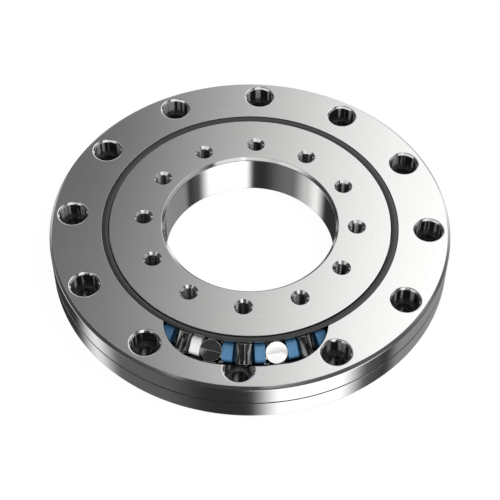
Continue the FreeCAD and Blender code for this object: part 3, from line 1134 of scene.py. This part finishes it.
@dataclass
class RollerTrain:
    """The crossed rollers and the spacers that keep them apart."""

    finishes: Finishes
    race: Race = field(default_factory=Race)
    count: int = 30
    roller_length: float = 10.5
    roller_rounding: float = 0.2
    roller_segments: int = 72
    roller_steps: int = 5
    end_share: float = 0.5
    side_limit: float = 0.1
    side_play: float = 1.4
    wrap: float = 0.5
    clearance: float = 0.15
    section_rounding: float = 2.2
    corner_steps: int = 8
    edge_rounding: float = 0.45
    edge_steps: int = 4
    hollow_scales: tuple[float, ...] = (0.02, 0.12, 0.24, 0.36, 0.48, 0.6, 0.72, 0.84)

    @property
    def half_section(self) -> float:
        """Half the side of the spacer's square section."""
        return self.race.roller_radius - self.side_play / 2

    def joint(self, number: int) -> dict:
        """The spin joint of a roller; numbers start at 1 and go round."""
        return roller_joint((number - 1) % self.count + 1)

    def roller_mesh(self) -> Object:
        """One ground roller along Z, with rounded rims."""
        radius, half = self.race.roller_radius, self.roller_length / 2
        inner, edge = self.end_share * radius, self.roller_rounding
        corners = [Corner(inner, half), Corner(radius, half, edge), Corner(radius, -half, edge), Corner(inner, -half)]
        maker = MeshMaker()
        for rim in maker.wall(rounded(corners, self.roller_steps), self.roller_segments):
            maker.flat([rim])
        return maker.finish("ground_roller")

    def rollers(self) -> list[Object]:
        """All rollers, each on its own joint's axis."""
        pattern, pieces = self.roller_mesh(), []
        self.finishes.dress(pattern, Slot.ROLLER)
        pattern.data.materials.append(self.finishes.roller_side_shade)
        # Painted shade: faces along each roller's side take the darker copy of its steel.
        for face in pattern.data.polygons:
            face.material_index = PAINTED_SHADE_SLOT if abs(face.normal.z) < self.side_limit else 0
        for number in range(1, self.count + 1):
            node, joint = f"roller_{number:02d}", self.joint(number)
            turn = Vector(joint["axis"]).to_track_quat("Z", "X").to_matrix().to_4x4()
            piece = copied(pattern, f"ground_{node}", Matrix.Translation(joint["pos_m"]) @ turn)
            pieces.append(stand_in(piece, node, node))
        bpy.data.objects.remove(pattern)
        return pieces

    def reach(self, point: Vector, centre: Vector, axis: Vector, way: float, limit: float) -> float:
        """How far a spacer's side may go before it meets the hollow for its roller.

        Args:
            point: A point of the spacer's middle section.
            centre: The roller's centre.
            axis: The roller's axis.
            way: 1 or -1, the side of the section that the roller is on.
            limit: The spacer's half width.

        Returns:
            The distance along the ring, at most the limit.
        """
        along = Vector((0, way, 0))
        radius = self.race.roller_radius + self.clearance
        a = along - axis * along.dot(axis)
        b = (point - centre) - axis * (point - centre).dot(axis)
        inside = a.dot(b) ** 2 - a.dot(a) * (b.dot(b) - radius ** 2)
        if inside <= 0:
            return limit
        return min(limit, (-a.dot(b) - math.sqrt(inside)) / a.dot(a))

    def section(self, scale: float) -> list[Vector]:
        """The spacer's rounded square section, set square to the race, as (radial, 0, vertical) points."""
        core, steps, points = self.half_section - self.section_rounding, self.corner_steps, []
        for quarter in range(4):
            corner = Matrix.Rotation(math.pi / 2 * quarter, 2) @ Vector((core, core))
            for step in range(steps + 1):
                turn = math.pi / 2 * (quarter + step / steps)
                points.append((corner + Vector((math.cos(turn), math.sin(turn))) * self.section_rounding) * scale)
        square = Matrix.Rotation(math.pi / 4, 2)
        return [Vector((p.x, 0, p.y)) for p in (square @ point for point in points)]

    def spacer_mesh(self, lean: int) -> Object:
        """One spacer about its own centre: X outwards, Y along the ring, Z up.

        Args:
            lean: 1 where the roller before it leans out at the top, else -1.

        Returns:
            The spacer.
        """
        half_step = math.pi / self.count
        pitch = SIZES.pitch_radius
        limit = pitch * math.sin(half_step) - self.race.roller_radius + self.wrap
        half, inset = self.half_section, self.edge_rounding
        scales = [*self.hollow_scales, 1 - inset / half]
        maker, sides = MeshMaker(), []
        for way, tilt in ((-1, lean), (1, -lean)):
            out = Vector((math.cos(half_step), way * math.sin(half_step), 0))
            centre = out * pitch - Vector((pitch, 0, 0))
            axis = (out * tilt + Vector((0, 0, 1))).normalized()
            rims = []
            for scale in scales:
                rims.append([point + Vector((0, way * self.reach(point, centre, axis, way, limit), 0))
                             for point in self.section(scale)])
            edge = self.section(1.0)
            for step in range(1, self.edge_steps + 1):
                turn = math.pi / 2 * step / self.edge_steps
                scale = 1 - inset / half * (1 - math.sin(turn))
                rims.append([Vector((p.x * scale, rim.y - way * inset * (1 - math.cos(turn)), p.z * scale))
                             for p, rim in zip(edge, rims[len(scales) - 1])])
            sides.append(rims)
        before, after = ([[maker.mesh.verts.new(p) for p in rim] for rim in rims] for rims in sides)
        for rims in (before, after):
            maker.flat(rims[:1])
            for first, second in zip(rims, rims[1:]):
                maker.bridge(first, second)
        maker.bridge(before[-1], after[-1])
        return maker.finish("moulded_spacer")

    def spacer_node(self, number: int) -> str:
        """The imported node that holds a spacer."""
        if number == self.count - 1:
            return "white_spacer"
        half = self.count // 2
        return "single_spacer" if number == half - 1 else f"spacer_pair_{(number - 1) % half + 1:02d}"

    def spacers(self) -> list[Object]:
        """All spacers, number n after roller n."""
        pieces = []
        for parity, lean in ((0, 1), (1, -1)):
            pattern = self.spacer_mesh(lean)
            for number in (n for n in range(1, self.count + 1) if n % 2 == parity):
                node = self.spacer_node(number)
                slot = Slot.WHITE if node == "white_spacer" else Slot.BLUE
                name = "moulded_white_spacer" if slot is Slot.WHITE else f"moulded_spacer_{number:02d}"
                middle = Vector(self.joint(number)["pos_m"]) + Vector(self.joint(number + 1)["pos_m"])
                angle = math.atan2(middle.y, middle.x)
                centre = Vector((*polar(SIZES.pitch_radius, math.degrees(angle)), SIZES.middle)) * MM
                piece = copied(pattern, name, Matrix.Translation(centre) @ Matrix.Rotation(angle, 4, "Z"))
                if slot is Slot.WHITE:
                    piece.data = pattern.data.copy()
                self.finishes.dress(piece, slot)
                pieces.append(stand_in(piece, node, "roller_train"))
            bpy.data.objects.remove(pattern)
        return pieces

    def build(self) -> list[Object]:
        """Builds and dresses all rollers and spacers.

        Returns:
            The rollers and the spacers.
        """
        return self.rollers() + self.spacers()


# The studio


@dataclass(frozen=True)
class Panel:
    """A soft panel that polished steel mirrors.

    Bearings are in degrees to the right of the camera's own side of the object, heights above the horizon.
    """

    bearing: float
    half_width: float
    side_blur: float
    height: float
    half_height: float
    edge_blur: float
    level: float
    slant: float = 0.0


@dataclass
class Studio:
    """The camera at the photo's angle, a soft lamp, a pale floor and the panels round the object."""

    camera_azimuth: float = 3.05
    camera_elevation: float = 50.59
    camera_roll: float = 0.358
    camera_distance: float = 723.78
    camera_target: tuple[float, float, float] = (0.07, -11.49, 15.56)
    lens: float = 99.27
    sensor: float = 36.0
    clip: Point = (0.05, 20.0)
    floor_half: float = 3000.0
    floor_drop: float = 0.02
    floor_white: float = 0.96
    floor_colour: Colour = (0.85, 0.85, 0.85)
    lamp_place: tuple[float, float, float] = (250.0, -200.0, 900.0)
    lamp_size: float = 0.9
    lamp_power: float = 8.0
    dark: float = 0.035
    ambient: float = 0.75
    # Bearing, half width, side blur, height, half height, edge blur, level and, on two, the slant
    panels: tuple[Panel, ...] = (
        Panel(38.2, 26.8, 11.5, -50, 50, 8, 1.5),
        Panel(8, 8, 5, -38, 13, 1.5, 1.2),
        Panel(78, 6, 10, -50, 50, 8, 0.07),
        Panel(-103.5, 9.5, 11, -50, 49, 8, 0.92),
        Panel(-84, 14, 12, -38, 13, 1.5, 0.6),
        Panel(-75, 35, 18, -50, 45, 8, 0.095),
        Panel(-45, 18, 12, -38, 13, 1.5, 0.07),
        Panel(128, 33, 6, -50, 52, 8, 0.27),
        Panel(0, 120, 15, 18, 14, 5, 0.035),
        Panel(50, 30, 20, 20, 15, 8, 0.05),
        Panel(-136, 13, 8, -8, 10, 6, 0.62),
        Panel(133, 10, 6, -9, 7, 5, 0.35),
        Panel(26, 19, 3, 61, 26.6, 0.6, 0.95),
        Panel(18, 10, 3, 36, 1.8, 0.6, 0.65),
        Panel(40, 14, 4, 74, 12, 3, 0.7),
        Panel(-12, 22, 4, 52, 12, 3, 0.9),
        Panel(-60, 26, 5, 44, 12, 4, 0.9),
        Panel(88, 15, 6, 25, 15, 4, 0.38, -1.5),
        Panel(-126, 26, 7, 53, 16, 6, 0.5),
        Panel(-172, 6, 6, 54, 5, 5, 0.11),
        Panel(0, 185, 2, 90, 8, 3, 0.5),
        Panel(172, 35, 10, 8, 24, 8, 1.2),
        Panel(133.2, 45, 13, 50, 14, 8, 1.26, 0.12),
        Panel(180, 40, 20, 52, 15, 8, 0.12),
    )

    def camera(self) -> Object:
        """Places the camera as it stood for the photo."""
        data = bpy.data.cameras.new("camera")
        data.sensor_width, data.lens = self.sensor, self.lens
        data.clip_start, data.clip_end = self.clip
        camera = bpy.data.objects.new("camera", data)
        around = Matrix.Rotation(math.radians(self.camera_azimuth), 4, "Z")
        tilt = Matrix.Rotation(math.radians(90 - self.camera_elevation), 4, "X")
        roll = Matrix.Rotation(math.radians(self.camera_roll), 4, "Z")
        back = Matrix.Translation((0, 0, self.camera_distance * MM))
        camera.matrix_world = around @ Matrix.Translation(Vector(self.camera_target) * MM) @ tilt @ roll @ back
        bpy.context.scene.collection.objects.link(camera)
        bpy.context.scene.camera = camera
        return camera

    def floor(self) -> Object:
        """Lays the pale floor, which keeps the object's shadow and lets mirrored rays see the panels."""
        maker = MeshMaker()
        places = ((-1, -1, 0), (1, -1, 0), (1, 1, 0), (-1, 1, 0))
        maker.flat([[maker.mesh.verts.new(self.floor_half * Vector(place)) for place in places]])
        floor = maker.finish("floor")
        floor.location.z = -self.floor_drop * MM
        material = bpy.data.materials.new("pale_floor")
        material.use_nodes = True
        material.node_tree.nodes.clear()
        graph = Graph(material.node_tree)
        path = graph.node("ShaderNodeLightPath").outputs
        matt = graph.node("ShaderNodeBsdfDiffuse", {"Color": (*self.floor_colour, 1)}).outputs[0]
        white = graph.node("ShaderNodeEmission", {"Strength": 1.0}).outputs[0]
        seen = graph.math("MULTIPLY", path["Is Camera Ray"], self.floor_white)
        lit = graph.node("ShaderNodeMixShader", {0: seen, 1: matt, 2: white}).outputs[0]
        clear = graph.node("ShaderNodeBsdfTransparent").outputs[0]
        behind = graph.node("ShaderNodeNewGeometry").outputs["Backfacing"]
        open_to = graph.math("MAXIMUM", path["Is Glossy Ray"], behind)
        shown = graph.node("ShaderNodeMixShader", {0: open_to, 1: lit, 2: clear}).outputs[0]
        graph.node("ShaderNodeOutputMaterial", {"Surface": shown})
        floor.data.materials.append(material)
        return floor

    def world(self) -> bpy.types.World:
        """Makes the studio: white to the camera, even to matt surfaces, panels in the dark to mirrored rays."""
        world = bpy.data.worlds.new("studio")
        world.use_nodes = True
        world.node_tree.nodes.clear()
        graph = Graph(world.node_tree)
        path = graph.node("ShaderNodeLightPath").outputs
        axes = graph.node("ShaderNodeSeparateXYZ", {0: graph.node("ShaderNodeTexCoord").outputs["Generated"]}).outputs
        azimuth = graph.math("DEGREES", graph.math("ARCTAN2", axes[1], axes[0]))
        elevation = graph.math("DEGREES", graph.math("ARCSINE", axes[2]))
        light = self.dark
        for panel in self.panels:
            inputs = {"Azimuth": azimuth, "Elevation": elevation, "Centre": panel.bearing + self.camera_azimuth + FRONT,
                      "Half Width": panel.half_width, "Side Blur": panel.side_blur, "Height": panel.height,
                      "Half Height": panel.half_height, "Edge Blur": panel.edge_blur, "Slant": panel.slant,
                      "Level": panel.level}
            made = EFFECTS.place(graph, Effect.SOFTBOX, inputs).outputs["Light"]
            light = graph.math("ADD", light, made)
        glossy = graph.math("MULTIPLY", light, path["Is Glossy Ray"])
        plain = graph.math("SUBTRACT", 1.0, path["Is Glossy Ray"])
        even = graph.math("MULTIPLY", plain, graph.span(path["Is Camera Ray"], 0.0, 1.0, (self.ambient, 1.0)))
        strength = graph.math("ADD", glossy, even)
        shader = graph.node("ShaderNodeBackground", {"Color": (1, 1, 1, 1), "Strength": strength})
        graph.node("ShaderNodeOutputWorld", {"Surface": shader.outputs[0]})
        bpy.context.scene.world = world
        return world

    def lamp(self) -> Object:
        """Hangs one large soft lamp over the object, which polished steel doesn't mirror."""
        data = bpy.data.lights.new("soft_lamp", "AREA")
        data.shape, data.size, data.energy = "DISK", self.lamp_size, self.lamp_power
        lamp = bpy.data.objects.new("soft_lamp", data)
        lamp.location = Vector(self.lamp_place) * MM
        lamp.rotation_euler = (-lamp.location).to_track_quat("-Z", "Y").to_euler()
        lamp.visible_glossy = False
        bpy.context.scene.collection.objects.link(lamp)
        return lamp

    def build(self) -> list[bpy.types.ID]:
        """Sets the whole stage.

        Returns:
            The camera, floor, world and lamp.
        """
        bpy.context.scene.view_settings.view_transform = "Standard"
        return [self.camera(), self.floor(), self.world(), self.lamp()]


def main() -> None:
    """Builds the studio and the bearing, and reports each piece."""
    logging.basicConfig(level=logging.INFO, format="%(message)s")
    finishes = Finishes()
    for part in (Studio(), OuterRing(finishes), InnerRing(finishes), Seals(finishes), RollerTrain(finishes)):
        for piece in part.build():
            log.info("%s: %s", type(part).__name__, piece.name)
    bpy.context.view_layer.update()


if __name__ == "__main__":
    main()
